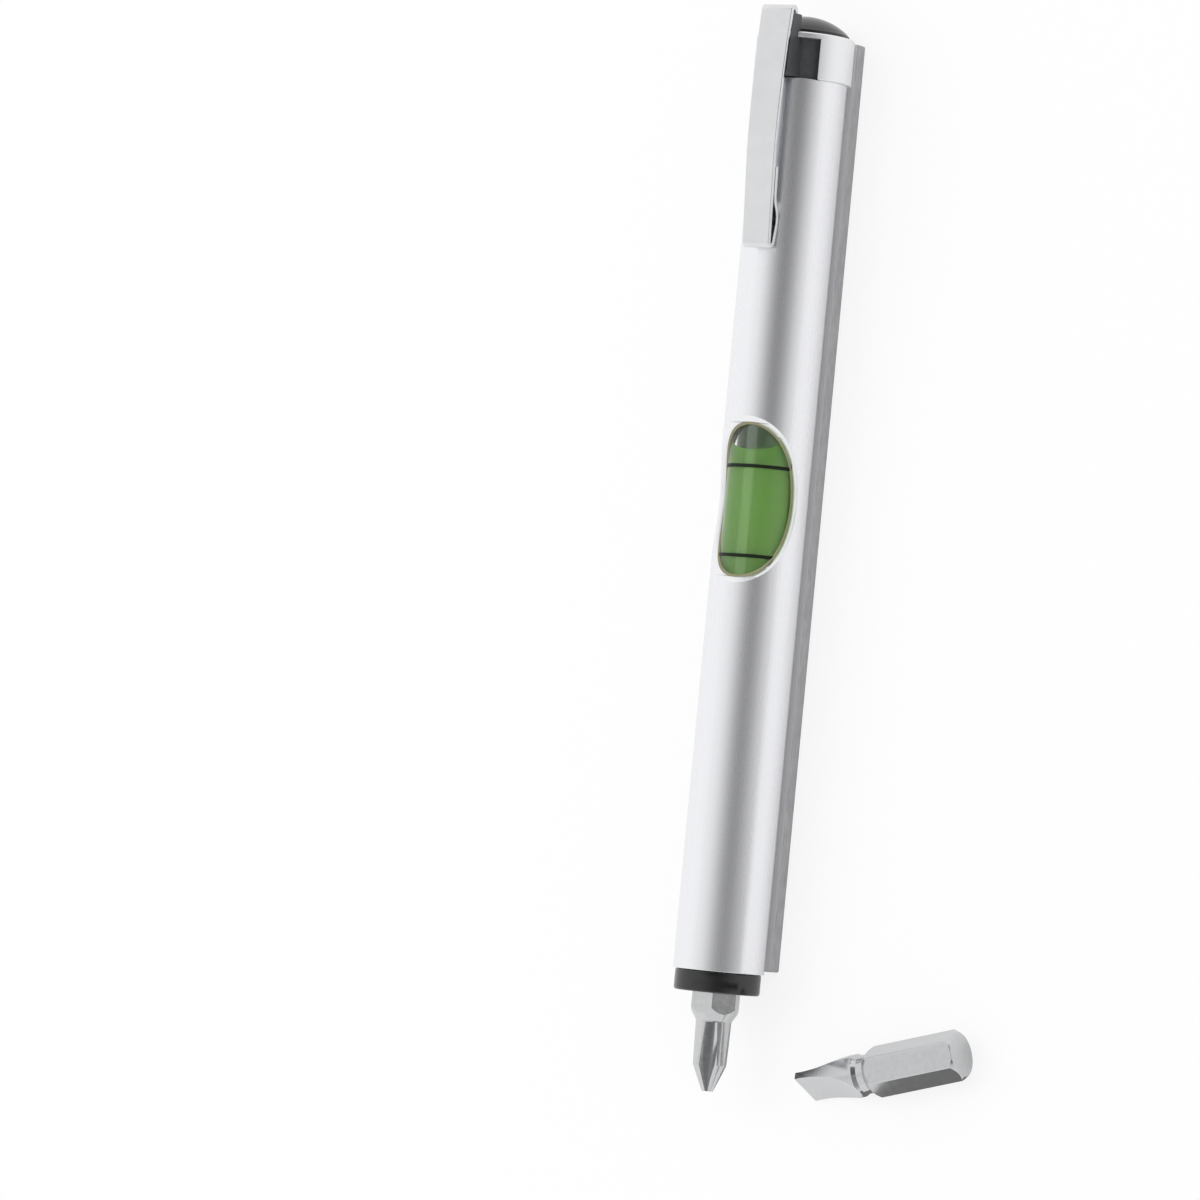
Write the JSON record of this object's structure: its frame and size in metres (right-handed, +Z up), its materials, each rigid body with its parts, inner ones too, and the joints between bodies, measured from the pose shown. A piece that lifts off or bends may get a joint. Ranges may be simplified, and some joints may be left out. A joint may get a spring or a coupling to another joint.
{
  "type": "multi-tool pen",
  "caption": "Pen-shaped tool: round barrel on a magnetic rail, spirit level in a scooped window, bit holder in the nose, spare bits behind a pull-out plug, sprung pocket clip.",
  "frame": {"origin": "middle of the rail's underside, below the middle of the window", "axes": "+X along the barrel towards the pocket clip, +Z up out of the window, the nose and its bit towards -X"},
  "size_m": [0.1523, 0.0447, 0.0179],
  "materials": {
    "barrel": "satin anodised",
    "rail": "matt grey bonded ferrite",
    "vial": "clear polished acrylic",
    "vial_stopper": "translucent",
    "level_liquid": "clear yellow-green liquid",
    "level_line": "printed black",
    "band": "matt",
    "black_moulding": "smooth moulded",
    "magnet": "nickel plated",
    "bit_steel": "satin nickel plated",
    "collar_plate": "bright plated",
    "clip_plate": "bright plated"
  },
  "bodies": {
    "barrel": {"tube": "barrel", "magnetic_rail": "rail", "vial_body": "vial", "vial_stopper": "vial_stopper", "vial_liquid": "level_liquid", "level_line_nose": "level_line", "level_line_clip": "level_line", "vial_band_nose": "band", "vial_band_clip": "band", "nose_holder": "black_moulding", "holder_magnet": "magnet", "slotted_bit_large": "bit_steel", "top_core": "black_moulding", "top_collar": "collar_plate", "clip_root": "clip_plate"},
    "nose_bit": {"phillips_bit_large": "bit_steel"},
    "plug": {"top_plug": "black_moulding"},
    "outer_bit": {"slotted_bit_small": "bit_steel"},
    "inner_bit": {"phillips_bit_small": "bit_steel"},
    "clip": {"clip_arm": "clip_plate"}
  },
  "joints": [
    {"name": "nose_bit_pull", "type": "slide", "parent": "barrel", "child": "nose_bit", "axis": [-1, 0, 0], "range_m": [0, 0.014]},
    {"name": "plug_pull", "type": "slide", "parent": "barrel", "child": "plug", "axis": [1, 0, 0], "range_m": [0, 0.06]},
    {"name": "outer_bit_slide", "type": "slide", "parent": "barrel", "child": "outer_bit", "axis": [1, 0, 0], "range_m": [0, 0.045]},
    {"name": "inner_bit_slide", "type": "slide", "parent": "barrel", "child": "inner_bit", "axis": [1, 0, 0], "range_m": [0, 0.036]},
    {"name": "clip_spring", "type": "hinge", "parent": "barrel", "child": "clip", "pos_m": [0.06845, 0, 0.01614], "axis": [0, 1, 0], "range_deg": [0, 4], "stiffness_Nm_per_rad": 3}
  ],
  "couplings": [
    {"joint": "outer_bit_slide", "follows": "plug_pull", "ratio": 0.75},
    {"joint": "inner_bit_slide", "follows": "plug_pull", "ratio": 0.6}
  ]
}
